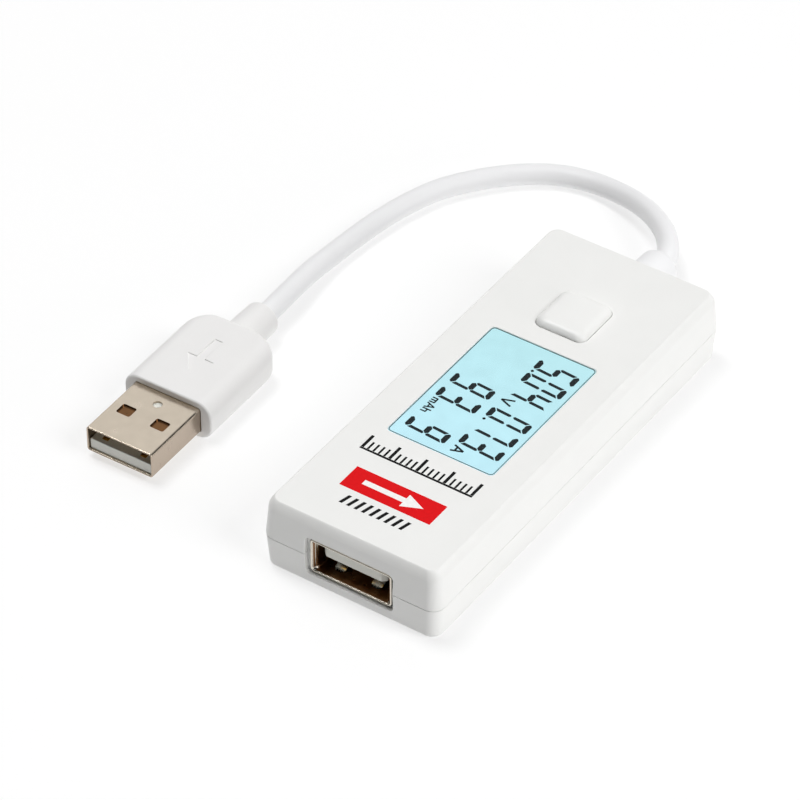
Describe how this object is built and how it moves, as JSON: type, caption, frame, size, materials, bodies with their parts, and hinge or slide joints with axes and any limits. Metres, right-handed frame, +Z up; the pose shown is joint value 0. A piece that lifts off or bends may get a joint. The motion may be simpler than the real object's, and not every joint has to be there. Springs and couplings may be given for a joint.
{
  "type": "inline usb power meter",
  "caption": "Small white rectangular inline USB power meter with a backlit segment display, a push button, a USB-A socket at one end and a short captive lead ending in a USB-A plug.",
  "frame": {"origin": "middle of the case's flat underside, on the surface that it stands on", "axes": "+X across the case, +Y from the socket end towards the lead end, +Z up through the display"},
  "size_m": [0.0689, 0.1035, 0.0137],
  "materials": {
    "case_plastic": "white injection moulded ABS, satin gloss",
    "button_plastic": "white moulded plastic, satin",
    "window_clear": "clear window film over the display",
    "lcd_glass": "display cell glass",
    "diffuser_sheet": "milky diffuser sheet",
    "light_guide": "pale cyan lit acrylic",
    "led_resin": "phosphor yellow resin",
    "zebra_rubber": "layered connector rubber",
    "frame_plastic": "white display tray",
    "board_green": "green solder mask on glass fibre board",
    "socket_metal": "nickel plated sheet steel",
    "plug_metal": "warm nickel plated sheet steel",
    "tongue_plastic": "white insulator plastic",
    "contact_gold": "gold plated contacts",
    "switch_black": "black nylon",
    "switch_steel": "bright spring steel",
    "chip_black": "moulded chip epoxy",
    "tinned_leads": "tinned leads",
    "shunt_metal": "bare shunt alloy",
    "can_metal": "drawn can",
    "chip_ceramic": "tan ceramic",
    "lead_pvc": "soft white PVC, satin",
    "grip_pvc": "soft white moulded PVC, satin",
    "wire_red": "red wire insulation",
    "wire_black": "black wire insulation",
    "wire_white": "white wire insulation",
    "wire_green": "green wire insulation"
  },
  "bodies": {
    "meter": {"bottom_shell": "case_plastic", "top_shell": "case_plastic", "display_window": "window_clear", "lcd_front_glass": "lcd_glass", "lcd_rear_glass": "lcd_glass", "light_diffuser": "diffuser_sheet", "light_guide": "light_guide", "backlight_leds": "led_resin", "zebra_strip": "zebra_rubber", "display_frame": "frame_plastic", "circuit_board": "board_green", "socket_shell": "socket_metal", "socket_tongue": "tongue_plastic", "socket_contacts": "contact_gold", "switch_cover": "switch_steel", "switch_dome": "switch_steel", "switch_base": "switch_black", "switch_terminals": "switch_steel", "controller_chip": "chip_black", "controller_leads": "tinned_leads", "memory_chip": "chip_black", "voltage_regulator": "chip_black", "shunt_resistor": "shunt_metal", "crystal": "can_metal", "bulk_capacitor": "can_metal", "ceramic_capacitors": "chip_ceramic", "chip_resistors": "chip_black", "cable_grommet": "lead_pvc", "cable": "lead_pvc", "wire_red": "wire_red", "wire_black": "wire_black", "wire_white": "wire_white", "wire_green": "wire_green", "plug_grip": "grip_pvc", "plug_strain_relief": "grip_pvc", "plug_shell": "plug_metal", "plug_insulator": "tongue_plastic", "plug_contacts": "contact_gold"},
    "button": {"button_cap": "button_plastic", "switch_plunger": "switch_black"}
  },
  "joints": [
    {"name": "button_press", "type": "slide", "parent": "meter", "child": "button", "axis": [0, 0, -1], "range_m": [0, 0.0003], "stiffness_N_per_m": 3000}
  ]
}
